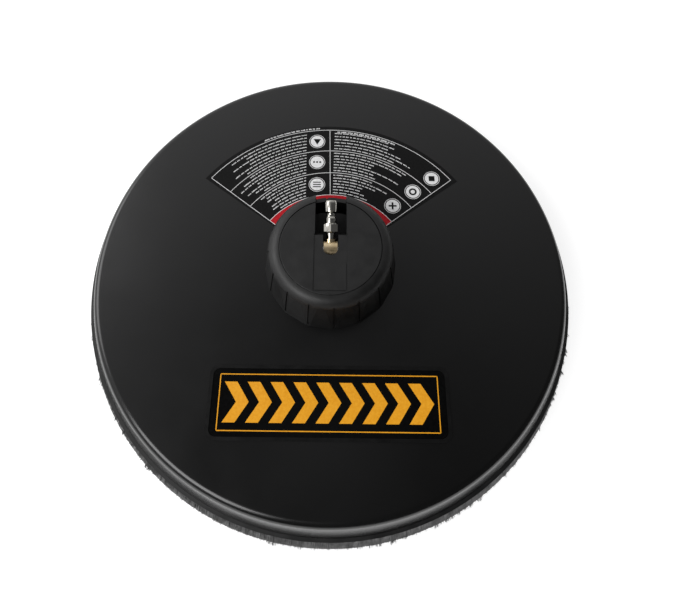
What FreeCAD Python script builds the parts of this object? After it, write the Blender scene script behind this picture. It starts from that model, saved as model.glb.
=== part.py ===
"""Pressure-washer surface cleaner: a flared steel deck on a bristle skirt, with a ribbed cover in the middle.

Row frame: +Z up, origin on the floor under the swivel axis, millimetres. The operator stands on the +Y side.
"""
import FreeCAD, Part
import math
import os
import Sketcher
from types import SimpleNamespace
from FreeCAD import Placement, Rotation, Vector

DRIVING = {
    # deck and skirt
    "rim_radius": 226.0,
    "hem_radius": 234.5,
    "deck_top": 48.0,
    "shoulder": 8.0,
    "hem_level": 22.0,
    "gauge": 1.5,
    "flange_inner": 214.0,
    "deck_hole": 21.0,
    "holder_drop": 6.0,
    "bristle_inner": 232.0,
    "bristle_thick": 5.0,
    "tip_radius": 247.0,
    "tip_width": 8.0,
    "skirt_screw_circle": 220.0,
    # swivel cover
    "cover_base": 62.5,
    "cover_neck": 55.8,
    "cover_neck_level": 84.5,
    "cover_top": 95.3,
    "cover_ring": 45.0,
    "cover_shoulder": 11.5,
    "cover_wall": 3.8,
    "cap_thick": 3.0,
    "groove_width": 1.8,
    "slot_wide": 28.0,
    "slot_narrow": 13.4,
    "slot_front": 10.5,
    "slot_end": 1.5,
    "slot_floor": 77.0,
    "stop_level": 79.7,
    "cover_screw_circle": 54.0,
    "groove_depth": 1.6,
    # swivel and pivot
    "pivot_level": 82.0,
    "plug_tilt": 25.0,
    "eye_radius": 10.0,
    "eye_width": 12.0,
    "pin_radius": 5.0,
    "running_gap": 0.05,
    "ear_gap": 13.4,
    "ear_thick": 5.5,
    "ear_radius": 9.5,
    "barrel_radius": 20.0,
    "flange_radius": 36.0,
    "flange_thick": 5.0,
    "gasket_thick": 1.0,
    "bolt_circle": 29.0,
    "bolt_radius": 3.0,
    "backing_radius": 44.0,
    "backing_thick": 3.0,
    "barrel_top": 71.6,
    "chamber_top": 69.4,
    "passage_level": 67.8,
    "passage_end": 16.0,
    "seal_top": 66.2,
    "seal_radius": 11.0,
    # bearings and shaft
    "shaft_radius": 6.0,
    "race_outer": 14.0,
    "race_width": 8.0,
    "ball_circle": 10.0,
    "ball_radius": 2.38,
    "race_step": 1.5,
    "upper_bearing": 55.0,
    "lower_bearing": 42.0,
    # rotor
    "arm_level": 26.0,
    "arm_radius": 6.0,
    "arm_tip": 190.0,
    "hub_radius": 15.0,
    "nozzle_circle": 197.0,
    "nozzle_lean": 18.0,
    # graphics
    "label_inner": 67.5,
    "label_outer": 160.0,
    "label_half_angle": 54.0,
    "badge_width": 209.0,
    "badge_height": 63.0,
    "badge_centre": -127.5,
}
RIB_COUNT = 16
BALL_COUNT = 8
BOLT_COUNT = 4
SKIRT_SCREW_COUNT = 12
HOLE_TURN = 45  # degrees from +X to the first flange bolt and the first cover screw
BOLT_HOLE = 3.3
WASHER_THICK = 1.2
NUT_HEIGHT = 5.0
COVER_SCREW_RADIUS = 1.75
COVER_SCREW_HOLE = 2.3
SKIRT_SCREW_RADIUS = 2.0
SKIRT_SCREW_HOLE = 2.1
HOLDER_WALL = 2.5
LEDGE = 3.0  # the cover's shelf under the edge of the cap
CAP_DROP = 0.3  # how far the cap sits below the cover's rim
LINER_WALL = 1.8
CLIP_LEVEL = 36.7
PASSAGE_RADIUS = 1.5
PASSAGE_MOUTH = 2.0
PIN_BORE = 1.6
ARM_BORE = 2.4
ARM_THREAD = 4.5
HOLDER_RADIUS = 8.0
PLUG_BORE = 2.3
ORING_CENTRES = (-4.5, 4.5)  # either side of the eye's water groove
ORING_THICK = 1.6
BEZEL_EDGE = 3.0
RIB_PHASE = 3.9  # degrees that the first groove stands off the front of the cover

doc = FreeCAD.newDocument("surface_cleaner")
sheet = doc.addObject("Spreadsheet::Sheet", "dims")
made = []


class Size:
    """A length that carries its spreadsheet expression and its present value."""

    def __init__(self, text, value):
        self.text = text
        self.value = value

    def _join(self, sign, other, value, swap=False):
        text = other.text if isinstance(other, Size) else f"{other:g}"
        left, right = (text, self.text) if swap else (self.text, text)
        return Size(f"({left} {sign} {right})", value)

    def __add__(self, other):
        return self._join("+", other, self.value + number(other))

    __radd__ = __add__

    def __sub__(self, other):
        return self._join("-", other, self.value - number(other))

    def __rsub__(self, other):
        return self._join("-", other, number(other) - self.value, swap=True)

    def __mul__(self, other):
        return self._join("*", other, self.value * number(other))

    __rmul__ = __mul__

    def __truediv__(self, other):
        return self._join("/", other, self.value / number(other))

    def __neg__(self):
        return 0 - self


def root(size):
    return Size(f"sqrt({size.text})", math.sqrt(size.value))


def number(size):
    return size.value if isinstance(size, Size) else float(size)


def fill_sheet():
    """Writes every driving dimension to the sheet and returns them as named sizes."""
    sizes = {}
    for row, (alias, value) in enumerate(DRIVING.items(), start=1):
        sheet.set(f"A{row}", alias)
        sheet.set(f"B{row}", f"{value:g}")
        sheet.setAlias(f"B{row}", alias)
        sizes[alias] = Size(f"dims.{alias}", value)
    doc.recompute()
    return SimpleNamespace(**sizes)


S = fill_sheet()


def bind(thing, name, size):
    """Sets a property and, where the size comes from the sheet, keeps it bound there."""
    if isinstance(size, Size):
        thing.setExpression(name, size.text)
    else:
        setattr(thing, name, size)


def label(thing, node):
    """Gives a finished sub-part the label that names its file."""
    thing.Label = node
    made.append(thing)
    return thing


# ---------------------------------------------------------------- sketches and bodies


def new_body(name):
    return doc.addObject("PartDesign::Body", name + "_body")


def origin_plane(body, role):
    return next(f for f in body.Origin.OriginFeatures if f.Role == role)


def new_sketch(body, plane, level=0):
    """A sketch on one of the body's own origin planes, raised by level along its normal."""
    sketch = body.newObject("Sketcher::SketchObject", body.Name + "_sketch")
    sketch.AttachmentSupport = (origin_plane(body, plane), [""])
    sketch.MapMode = "FlatFace"
    if isinstance(level, Size):
        sketch.setExpression("AttachmentOffset.Base.z", level.text)
    elif level:
        sketch.AttachmentOffset = Placement(Vector(0, 0, level), Rotation())
    return sketch


def pin_value(sketch, kind, index, end, size):
    """Fixes one coordinate of a sketch point from the sketch's origin."""
    if not isinstance(size, Size) and size == 0:
        axis = -2 if kind == "DistanceX" else -1
        sketch.addConstraint(Sketcher.Constraint("PointOnObject", index, end, axis))
        return
    made_at = sketch.addConstraint(Sketcher.Constraint(kind, -1, 1, index, end, number(size)))
    if isinstance(size, Size):
        sketch.setExpression(f"Constraints[{made_at}]", size.text)


def arc_between(start, end, radius):
    """The arc from start to end. Its centre lies left of the way, or right for a negative radius."""
    half = (end - start) / 2
    reach = math.sqrt(max(radius * radius - half.Length ** 2, 0.0))
    side = Vector(-half.y, half.x, 0).normalize() * math.copysign(reach, radius)
    centre = start + half + side
    first = math.atan2(start.y - centre.y, start.x - centre.x)
    last = math.atan2(end.y - centre.y, end.x - centre.x)
    if radius < 0:
        first, last = last, first
    return Part.ArcOfCircle(Part.Circle(centre, Vector(0, 0, 1), abs(radius)), first, last)


def outline(sketch, points):
    """Closes a fully constrained outline. A point is (x, y), or (x, y, radius) to leave it along an arc."""
    places = [Vector(number(p[0]), number(p[1]), 0) for p in points]
    count = len(points)
    ends = []
    for i, point in enumerate(points):
        start, end = places[i], places[(i + 1) % count]
        if len(point) == 3:
            index = sketch.addGeometry(arc_between(start, end, number(point[2])), False)
            turned = number(point[2]) < 0
            ends.append((index, 2 if turned else 1, 1 if turned else 2))
            made_at = sketch.addConstraint(Sketcher.Constraint("Radius", index, abs(number(point[2]))))
            if isinstance(point[2], Size):
                text = point[2].text if number(point[2]) > 0 else (-point[2]).text
                sketch.setExpression(f"Constraints[{made_at}]", text)
        else:
            index = sketch.addGeometry(Part.LineSegment(start, end), False)
            ends.append((index, 1, 2))
    for i, (index, first, last) in enumerate(ends):
        after = ends[(i + 1) % count]
        sketch.addConstraint(Sketcher.Constraint("Coincident", index, last, after[0], after[1]))
    for (index, first, _), point in zip(ends, points):
        pin_value(sketch, "DistanceX", index, first, point[0])
        pin_value(sketch, "DistanceY", index, first, point[1])


def add_circle(sketch, x, y, radius):
    circle = Part.Circle(Vector(number(x), number(y), 0), Vector(0, 0, 1), number(radius))
    index = sketch.addGeometry(circle, False)
    pin_value(sketch, "DistanceX", index, 3, x)
    pin_value(sketch, "DistanceY", index, 3, y)
    made_at = sketch.addConstraint(Sketcher.Constraint("Radius", index, number(radius)))
    if isinstance(radius, Size):
        sketch.setExpression(f"Constraints[{made_at}]", radius.text)


def revolve(body, points):
    """Turns an (r, z) outline about the body's Z axis."""
    sketch = new_sketch(body, "XZ_Plane")
    outline(sketch, points)
    feature = body.newObject("PartDesign::Revolution", body.Name + "_turn")
    feature.Profile = sketch
    feature.ReferenceAxis = (sketch, ["V_Axis"])
    feature.Angle = 360
    sketch.Visibility = False
    return feature


def pad(body, draw, level, height):
    """Raises a sketch that draw(sketch) fills, from level, on the XY plane."""
    sketch = new_sketch(body, "XY_Plane", level)
    draw(sketch)
    feature = body.newObject("PartDesign::Pad", body.Name + "_pad")
    feature.Profile = sketch
    bind(feature, "Length", height)
    return feature


def drill(body, x, y, radius, level, depth):
    """Cuts a round hole downwards from level. The level stands at or above the solid."""
    sketch = new_sketch(body, "XY_Plane", level)
    add_circle(sketch, x, y, radius)
    feature = body.newObject("PartDesign::Pocket", body.Name + "_hole")
    feature.Profile = sketch
    bind(feature, "Length", depth)
    return feature


def ring_of(body, feature, count):
    """Repeats a feature round the body's Z axis."""
    pattern = body.newObject("PartDesign::PolarPattern", body.Name + "_pattern")
    pattern.Originals = [feature]
    pattern.Axis = (next(f for f in body.Origin.OriginFeatures if f.Role == "Z_Axis"), [""])
    pattern.Angle = 360
    pattern.Occurrences = count
    body.Tip = pattern
    return pattern


def hexagon(across_flats):
    """A drawing function for a hexagon with two flats parallel to Y."""
    def draw(sketch):
        corner = across_flats / math.sqrt(3)
        flat = across_flats / 2
        outline(sketch, [
            (flat, -corner / 2), (flat, corner / 2), (0, corner),
            (-flat, corner / 2), (-flat, -corner / 2), (0, -corner),
        ])
    return draw


def turned(node, points):
    body = new_body(node)
    revolve(body, points)
    return label(body, node)


def washer_like(node, inner, outer, bottom, top):
    """A plain ring of rectangular section."""
    return turned(node, [(inner, bottom), (outer, bottom), (outer, top), (inner, top)])


# ---------------------------------------------------------------- primitives and booleans


def stand(thing, base, turn=Rotation()):
    """Places a thing, and keeps each coordinate that comes from the sheet bound there."""
    thing.Placement = Placement(Vector(*(number(v) for v in base)), turn)
    for axis, value in zip("xyz", base):
        if isinstance(value, Size):
            thing.setExpression(f"Placement.Base.{axis}", value.text)
    return thing


def box(name, low, size):
    """A Part::Box from its lowest corner and its three sides."""
    thing = doc.addObject("Part::Box", name)
    for side, value in zip(("Length", "Width", "Height"), size):
        bind(thing, side, value)
    return stand(thing, low)


def cylinder(name, base, direction, radius, height):
    """A Part::Cylinder that starts at base and runs along direction."""
    thing = doc.addObject("Part::Cylinder", name)
    bind(thing, "Radius", radius)
    bind(thing, "Height", height)
    return stand(thing, base, Rotation(Vector(0, 0, 1), Vector(*direction)))


def fused(name, parts):
    thing = doc.addObject("Part::MultiFuse", name)
    thing.Shapes = parts
    return thing


def cut(name, base, tool):
    thing = doc.addObject("Part::Cut", name)
    thing.Base = base
    thing.Tool = tool
    return thing


def common(name, base, tool):
    thing = doc.addObject("Part::Common", name)
    thing.Base = base
    thing.Tool = tool
    return thing


def ring_places(count, radius, phase=0.0):
    """Points evenly round the Z axis as (x, y, degrees)."""
    reach = number(radius)
    for i in range(count):
        turn = phase + 360.0 * i / count
        yield reach * math.cos(math.radians(turn)), reach * math.sin(math.radians(turn)), turn


# ---------------------------------------------------------------- deck and skirt


def make_deck():
    """Pressed steel pan: flat top, round shoulder, flared side band and an inward flange for the skirt."""
    body = new_body("deck")
    crown = S.deck_top - S.shoulder
    inner = S.shoulder - S.gauge
    revolve(body, [
        (S.deck_hole, S.deck_top - S.gauge),
        (S.rim_radius - S.shoulder, S.deck_top - S.gauge, -inner),
        (S.rim_radius - S.gauge, crown),
        (S.hem_radius - S.gauge, S.hem_level + S.gauge),
        (S.flange_inner, S.hem_level + S.gauge),
        (S.flange_inner, S.hem_level),
        (S.hem_radius, S.hem_level),
        (S.rim_radius, crown, S.shoulder),
        (S.rim_radius - S.shoulder, S.deck_top),
        (S.deck_hole, S.deck_top),
    ])
    diagonal = math.cos(math.radians(HOLE_TURN))
    for circle, radius in ((S.bolt_circle, BOLT_HOLE), (S.cover_screw_circle, COVER_SCREW_HOLE)):
        hole = drill(body, circle * diagonal, circle * diagonal, radius, S.deck_top + 1, 4)
        ring_of(body, hole, BOLT_COUNT)
    hole = drill(body, S.skirt_screw_circle, 0, SKIRT_SCREW_HOLE, S.hem_level + S.gauge + 1, 4)
    ring_of(body, hole, SKIRT_SCREW_COUNT)
    return label(body, "deck")


def make_brush_holder():
    """Moulded ring under the deck's flange, with a channel that grips the bristles."""
    top = S.hem_level
    low = S.hem_level - S.holder_drop
    outer = S.bristle_inner + S.bristle_thick
    body = new_body("brush_holder")
    revolve(body, [
        (S.flange_inner + 1, top - HOLDER_WALL), (S.bristle_inner - HOLDER_WALL, top - HOLDER_WALL),
        (S.bristle_inner - 1.5, low),
        (S.bristle_inner, low), (S.bristle_inner, top - 2), (outer, top - 2), (outer, low),
        (outer + 1.6, low), (outer + 0.8, top), (S.flange_inner + 1, top),
    ])
    hole = drill(body, S.skirt_screw_circle, 0, SKIRT_SCREW_HOLE, top + 1, 5)
    ring_of(body, hole, SKIRT_SCREW_COUNT)
    return label(body, "brush_holder")


def make_bristle_skirt():
    """The envelope of the bristles: gripped upright in the holder, then flaring to the floor."""
    gap = 0.1
    low = S.hem_level - S.holder_drop
    inner = S.bristle_inner + gap
    outer = S.bristle_inner + S.bristle_thick - gap
    return turned("bristle_skirt", [
        (S.tip_radius - S.tip_width, 0), (S.tip_radius, 0), (outer, low), (outer, S.hem_level - 2 - gap),
        (inner, S.hem_level - 2 - gap), (inner, low),
    ])


def pan_screw(name, x, y, head_face, length, radius, head):
    """A screw that points up, with a cross-slotted head below its face."""
    head_height = 2.2
    slot_width = 0.8
    shank = cylinder(name + "_shank", (x, y, head_face), (0, 0, 1), radius, length)
    cap = cylinder(name + "_head", (x, y, head_face - head_height), (0, 0, 1), head, head_height)
    whole = fused(name + "_blank", [shank, cap])
    low = head_face - head_height - 0.2
    reach = head * 0.6
    slots = fused(name + "_cross", [
        box(name + "_slot_x", (x - reach, y - slot_width / 2, low), (2 * reach, slot_width, 1.4)),
        box(name + "_slot_y", (x - slot_width / 2, y - reach, low), (slot_width, 2 * reach, 1.4)),
    ])
    return cut(name, whole, slots)


def group(node, things):
    """Several separate solids in one node."""
    thing = doc.addObject("Part::Compound", node + "_group")
    thing.Links = things
    return label(thing, node)


def make_skirt_screws():
    face = S.hem_level - HOLDER_WALL
    return group("skirt_screws", [
        pan_screw(f"skirt_screw_{i}", x, y, face, 7, SKIRT_SCREW_RADIUS, 3.4)
        for i, (x, y, _) in enumerate(ring_places(SKIRT_SCREW_COUNT, S.skirt_screw_circle))
    ])


# ---------------------------------------------------------------- swivel cover


def ribbed_wall(blank):
    """Cuts the cover's wall to flat panels, which fade out at the shoulder, and a groove between each two."""
    rings = []
    rise = S.cover_neck_level - S.deck_top
    taper = (S.cover_base - S.cover_neck) / rise
    flat_low, flat_high = S.cover_base - 0.8, S.cover_neck - 0.1
    flat_taper = (flat_low - flat_high) / rise
    for name, level in (("low", S.deck_top - 1), ("high", S.cover_top + 1)):
        ring = doc.addObject("Part::RegularPolygon", "panel_ring_" + name)
        ring.Polygon = RIB_COUNT
        flat = flat_low - flat_taper * (level - S.deck_top)
        bind(ring, "Circumradius", flat / math.cos(math.pi / RIB_COUNT))
        rings.append(stand(ring, (0, 0, level), Rotation(Vector(0, 0, 1), RIB_PHASE - 90)))
    panels = doc.addObject("Part::Loft", "panel_prism")
    panels.Sections = rings
    panels.Solid = True
    panels.Ruled = True
    faceted = common("cover_faceted", blank, panels)
    grooves = []
    height = rise + 3
    slope = math.degrees(math.atan(number(taper)))
    side = number(S.groove_width) / 2
    for i, (x, y, turn) in enumerate(ring_places(RIB_COUNT, S.cover_base - S.groove_depth, RIB_PHASE - 90)):
        groove = box(f"groove_{i}", (0, 0, 0), (6.0, S.groove_width, height))
        lean = Rotation(Vector(0, 0, 1), turn).multiply(Rotation(Vector(0, 1, 0), -slope))
        rad = math.radians(turn)
        corner = (x + side * math.sin(rad), y - side * math.cos(rad), S.deck_top + 2.5)
        grooves.append(stand(groove, corner, lean))
    return cut("cover_grooved", faceted, fused("grooves", grooves))


def slot_tool(name, bottom, top):
    """The T-shaped space that the plug and its coupler swing through."""
    height = top - bottom
    narrow = S.slot_narrow / 2
    return fused(name, [
        box(name + "_wide", (-S.slot_wide / 2, S.slot_front, bottom), (S.slot_wide, 70, height)),
        box(name + "_narrow", (-narrow, -S.slot_end, bottom), (2 * narrow, S.slot_front + 8, height)),
        cylinder(name + "_end", (0, -S.slot_end, bottom), (0, 0, 1), narrow, height),
    ])


def make_swivel_cover():
    """Moulded cover: tapering ribbed wall, round shoulder, a ledge for the cap, and four bosses inside."""
    blank = new_body("cover_blank")
    wall = S.cover_wall
    shelf = S.cover_top - S.cap_thick - CAP_DROP
    shelf_low = shelf - 2.2
    revolve(blank, [
        (S.cover_base - wall, S.deck_top), (S.cover_base, S.deck_top),
        (S.cover_neck, S.cover_neck_level, S.cover_shoulder),
        (S.cover_ring, S.cover_top), (S.cover_ring, shelf), (S.cover_ring - LEDGE, shelf),
        (S.cover_ring - LEDGE, shelf_low), (S.cover_ring + 2, shelf_low),
        (S.cover_neck - wall, S.cover_neck_level - 2),
    ])
    shell = ribbed_wall(blank)
    bosses = [
        cylinder(f"cover_boss_{i}", (x, y, S.deck_top), (0, 0, 1), 4.4, 14)
        for i, (x, y, _) in enumerate(ring_places(BOLT_COUNT, S.cover_screw_circle, HOLE_TURN))
    ]
    whole = fused("cover_whole", [shell] + bosses)
    pilots = [
        cylinder(f"cover_pilot_{i}", (x, y, S.deck_top - 1), (0, 0, 1), 1.8, 13)
        for i, (x, y, _) in enumerate(ring_places(BOLT_COUNT, S.cover_screw_circle, HOLE_TURN))
    ]
    opening = box("cover_opening", (-S.slot_wide / 2, S.slot_front, S.slot_floor), (S.slot_wide, 70, 30))
    return label(cut("cover_cut", whole, fused("cover_tools", [opening] + pilots)), "swivel_cover")


def make_cover_cap():
    """Round cap let into the cover, with a shallow raised-edge strip and the T-shaped slot."""
    body = new_body("cap_blank")
    top = S.cover_top - CAP_DROP
    low = top - S.cap_thick
    radius = S.cover_ring - 0.2
    revolve(body, [(0, low), (radius, low), (radius, top - 0.8, 0.8), (radius - 0.8, top), (0, top)])
    strip = box("cap_strip", (-S.slot_wide / 2 - 0.6, -41.4, top - 0.7), (S.slot_wide + 1.2, 53, 2))
    panel = box("cap_panel", (-S.slot_wide / 2 + 0.6, -40.2, top - 1), (S.slot_wide - 1.2, 24.4, 0.85))
    recess = cut("cap_recess", strip, panel)
    tools = fused("cap_tools", [recess, slot_tool("cap_slot", low - 1, top + 5)])
    return label(cut("cap_cut", body, tools), "cover_cap")


def make_slot_liner():
    """Channel under the slot that keeps dirt off the swivel; its front notch is the plug's lower stop."""
    front = S.slot_front + 0.2
    floor = S.slot_floor - LINER_WALL
    top = S.cover_top - S.cap_thick - CAP_DROP
    outer = S.slot_wide + 2 * LINER_WALL
    blank = box("liner_blank", (-outer / 2, front, floor), (outer, 30, top - floor))
    inside = box("liner_inside", (-S.slot_wide / 2, front + LINER_WALL, S.slot_floor), (S.slot_wide, 40, 30))
    notch = box("liner_notch", (-S.slot_narrow / 2, S.slot_front - 1, S.stop_level), (S.slot_narrow, 8, 20))
    rim = cylinder("liner_rim", (0, 0, floor - 1), (0, 0, 1), S.cover_ring - LEDGE - 0.2, 40)
    held = common("liner_held", blank, rim)
    return label(cut("liner_cut", held, fused("liner_tools", [inside, notch])), "slot_liner")


def make_cover_screws():
    return group("cover_screws", [
        pan_screw(f"cover_screw_{i}", x, y, S.deck_top - S.gauge, 11, COVER_SCREW_RADIUS, 3.6)
        for i, (x, y, _) in enumerate(ring_places(BOLT_COUNT, S.cover_screw_circle, HOLE_TURN))
    ])


# ---------------------------------------------------------------- swivel housing and its fixings


def make_swivel_housing():
    """Brass casting: bearing barrel through the deck, bolted flange, and a yoke for the pivot pin."""
    blank = new_body("housing_blank")
    seat = S.deck_top + S.gasket_thick
    half = S.race_width / 2
    foot = S.lower_bearing - half - 2
    revolve(blank, [
        (S.race_outer, foot), (S.deck_hole - 0.5, foot), (S.deck_hole - 0.5, seat), (S.flange_radius, seat),
        (S.flange_radius, seat + S.flange_thick), (S.barrel_radius, seat + S.flange_thick),
        (S.barrel_radius, S.barrel_top - 1), (S.barrel_radius - 1, S.barrel_top), (0, S.barrel_top),
        (0, S.chamber_top), (4.0, S.chamber_top), (4.0, S.seal_top), (S.seal_radius, S.seal_top),
        (S.seal_radius, S.upper_bearing + half), (S.race_outer, S.upper_bearing + half),
    ])
    ears = []
    ear_foot = S.barrel_top - 2
    for name, low in (("left", -S.ear_gap / 2 - S.ear_thick), ("right", S.ear_gap / 2)):
        size = (S.ear_thick, 2 * S.ear_radius, S.pivot_level - ear_foot)
        ears.append(box(f"ear_{name}", (low, -S.ear_radius, ear_foot), size))
        end = (low, 0, S.pivot_level)
        ears.append(cylinder(f"ear_{name}_end", end, (1, 0, 0), S.ear_radius, S.ear_thick))
    whole = fused("housing_whole", [blank] + ears)
    clip_disc = cylinder("clip_groove_disc", (0, 0, CLIP_LEVEL), (0, 0, 1), 15.0, 1.2)
    clip_core = cylinder("clip_groove_core", (0, 0, CLIP_LEVEL), (0, 0, 1), 13.0, 1.2)
    riser_x = (S.ear_gap + S.ear_thick) / 2
    rise = S.pivot_level - S.passage_level
    tools = [
        cut("clip_groove", clip_disc, clip_core),
        cylinder("pin_bore", (-30, 0, S.pivot_level), (1, 0, 0), S.pin_radius + 0.01, 60),
        cylinder("riser_passage", (riser_x, 0, S.passage_level), (0, 0, 1), PASSAGE_RADIUS, rise),
        cylinder("cross_passage", (0, 0, S.passage_level), (1, 0, 0), PASSAGE_RADIUS, 30),
        cylinder("passage_mouth", (S.passage_end, 0, S.passage_level), (1, 0, 0), PASSAGE_MOUTH, 10),
    ]
    for i, (x, y, _) in enumerate(ring_places(BOLT_COUNT, S.bolt_circle, HOLE_TURN)):
        tools.append(cylinder(f"flange_hole_{i}", (x, y, seat - 1), (0, 0, 1), BOLT_HOLE, 8))
    return label(cut("housing_cut", whole, fused("housing_tools", tools)), "swivel_housing")


def drilled_ring(node, inner, outer, bottom, top):
    """A flat ring with the four flange-bolt holes."""
    body = new_body(node)
    revolve(body, [(inner, bottom), (outer, bottom), (outer, top), (inner, top)])
    diagonal = math.cos(math.radians(HOLE_TURN))
    hole = drill(body, S.bolt_circle * diagonal, S.bolt_circle * diagonal, BOLT_HOLE, top + 1, 8)
    ring_of(body, hole, BOLT_COUNT)
    return label(body, node)


def hex_piece(name, base, across_flats, height, direction=(0, 0, 1)):
    """A hexagonal Part::Prism that starts at base and runs along direction."""
    thing = doc.addObject("Part::Prism", name)
    thing.Polygon = 6
    bind(thing, "Circumradius", across_flats / math.sqrt(3))
    bind(thing, "Height", height)
    return stand(thing, base, Rotation(Vector(0, 0, 1), Vector(*direction)))


def make_flange_fixings():
    """Gasket above the deck, backing plate below it, and four bolts with washers and nuts."""
    under = S.deck_top - S.gauge
    drilled_ring("flange_gasket", S.deck_hole + 0.5, S.flange_radius, S.deck_top, S.deck_top + S.gasket_thick)
    drilled_ring("backing_plate", S.deck_hole + 0.2, S.backing_radius, under - S.backing_thick, under)
    flange_top = S.deck_top + S.gasket_thick + S.flange_thick
    plate_low = under - S.backing_thick
    bolts, washers, nuts = [], [], []
    head_low = flange_top + WASHER_THICK
    shank_low = plate_low - NUT_HEIGHT - 3
    across = 10.0
    for i, (x, y, _) in enumerate(ring_places(BOLT_COUNT, S.bolt_circle, HOLE_TURN)):
        head = hex_piece(f"bolt_head_{i}", (x, y, head_low), across, 4.0)
        shank = cylinder(f"bolt_shank_{i}", (x, y, shank_low), (0, 0, 1), S.bolt_radius, head_low - shank_low)
        bolts.append(fused(f"bolt_{i}", [head, shank]))
        disc = cylinder(f"washer_disc_{i}", (x, y, flange_top), (0, 0, 1), 6.0, WASHER_THICK)
        hole = cylinder(f"washer_hole_{i}", (x, y, flange_top - 1), (0, 0, 1), S.bolt_radius + 0.2, 4)
        washers.append(cut(f"washer_{i}", disc, hole))
        nut = hex_piece(f"nut_blank_{i}", (x, y, plate_low - NUT_HEIGHT), across, NUT_HEIGHT)
        thread = cylinder(f"nut_hole_{i}", (x, y, plate_low - 6), (0, 0, 1), S.bolt_radius + 0.02, 8)
        nuts.append(cut(f"nut_{i}", nut, thread))
    group("flange_bolts", bolts)
    group("flange_washers", washers)
    group("flange_nuts", nuts)


def make_pivot_pin():
    """Hollow pin across the yoke: water enters from the ear and leaves into the eye's groove."""
    reach = S.ear_gap / 2 + S.ear_thick
    level = S.pivot_level
    along = (1, 0, 0)
    head_thick = 3.0
    head = cylinder("pin_head", (-reach - head_thick, 0, level), along, 8.0, head_thick)
    shank = cylinder("pin_shank", (-reach, 0, level), along, S.pin_radius, 2 * reach + 6)
    bore = cylinder("pin_water_bore", (-reach - 4, 0, level), along, PIN_BORE, 2 * reach + 3)
    cross = cylinder("pin_cross_hole", (0, -8, level), (0, 1, 0), 1.3, 16)
    feed = cylinder("pin_feed_hole", ((S.ear_gap + S.ear_thick) / 2, 0, level - 8), (0, 0, 1), 1.3, 8)
    whole = fused("pin_whole", [head, shank])
    label(cut("pin_cut", whole, fused("pin_tools", [bore, cross, feed])), "pivot_pin")
    plug = cylinder("pin_plug_rod", (-reach - head_thick, 0, level), along, PIN_BORE - 0.02, 5.0)
    label(plug, "pin_bore_plug")
    nut = hex_piece("pin_nut_blank", (reach + 0.1, 0, level), 13.0, 4.5, along)
    thread = cylinder("pin_nut_hole", (reach - 1, 0, level), along, S.pin_radius + 0.02, 8)
    label(cut("pin_nut_cut", nut, thread), "pivot_nut")
    mouth = (S.passage_end, 0, S.passage_level)
    label(cylinder("passage_screw_rod", mouth, along, PASSAGE_MOUTH - 0.02, 3.8), "passage_screw")


# ---------------------------------------------------------------- bearings, seal and shaft


def make_bearing(side, level):
    """A deep-groove ball bearing: two races, and the balls with their cage."""
    half = S.race_width / 2
    track = S.ball_radius + S.running_gap
    low, high = level - half, level + half
    mouth = root(track * track - S.race_step * S.race_step)
    inside, outside = S.ball_circle - S.race_step, S.ball_circle + S.race_step
    turned(f"{side}_bearing_inner", [
        (S.shaft_radius + 0.01, low), (inside, low), (inside, level - mouth, -track), (inside, level + mouth),
        (inside, high), (S.shaft_radius + 0.01, high),
    ])
    turned(f"{side}_bearing_outer", [
        (outside, low), (S.race_outer - 0.01, low), (S.race_outer - 0.01, high), (outside, high),
        (outside, level + mouth, -track), (outside, level - mouth),
    ])
    balls, pockets = [], []
    for i, (x, y, _) in enumerate(ring_places(BALL_COUNT, S.ball_circle)):
        ball = doc.addObject("Part::Sphere", f"{side}_ball_{i}")
        bind(ball, "Radius", S.ball_radius)
        balls.append(stand(ball, (x, y, level)))
        pockets.append(cylinder(f"{side}_pocket_{i}", (0, 0, level), (x, y, 0), S.ball_radius + 0.15, 15))
    cage = new_body(side + "_cage")
    cage_half = half - 0.7
    cage_low, cage_high = level - cage_half, level + cage_half
    cage_in, cage_out = S.ball_circle - 0.9, S.ball_circle + 0.9
    revolve(cage, [(cage_in, cage_low), (cage_out, cage_low), (cage_out, cage_high), (cage_in, cage_high)])
    label(cut(side + "_cage_cut", cage, fused(side + "_pockets", pockets)), f"{side}_bearing_cage")
    group(f"{side}_bearing_balls", balls)


def make_swivel_inside():
    """Bearings, spacer, pressure seal and the clip that holds the stack in the barrel."""
    make_bearing("upper", S.upper_bearing)
    make_bearing("lower", S.lower_bearing)
    half = S.race_width / 2
    above, below = S.lower_bearing + half, S.upper_bearing - half
    washer_like("outer_race_spacer", 12.0, S.race_outer - 0.05, above, below)
    washer_like("inner_race_spacer", S.shaft_radius + 0.02, 8.0, above, below)
    seal_low = S.upper_bearing + half + 1
    lip = S.shaft_radius + 0.03
    edge = S.seal_radius - 0.05
    turned("pressure_seal", [
        (lip, seal_low), (edge, seal_low), (edge, seal_low + 3.9), (edge - 1.3, seal_low + 3.9),
        (edge - 1.7, seal_low + 1.8), (lip + 1.6, seal_low + 1.8), (lip + 1.2, seal_low + 3.9),
        (lip, seal_low + 3.9),
    ])
    washer_like("seal_backing_ring", S.shaft_radius + 0.05, edge, seal_low + 4, S.seal_top - 0.05)
    ring = new_body("clip_ring")
    low, high = CLIP_LEVEL + 0.1, CLIP_LEVEL + 1.1
    revolve(ring, [(12.2, low), (14.9, low), (14.9, high), (12.2, high)])
    gap = box("clip_gap", (-2.5, -20, low - 1), (5, 12, 3))
    label(cut("clip_cut", ring, gap), "retaining_clip")


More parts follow.
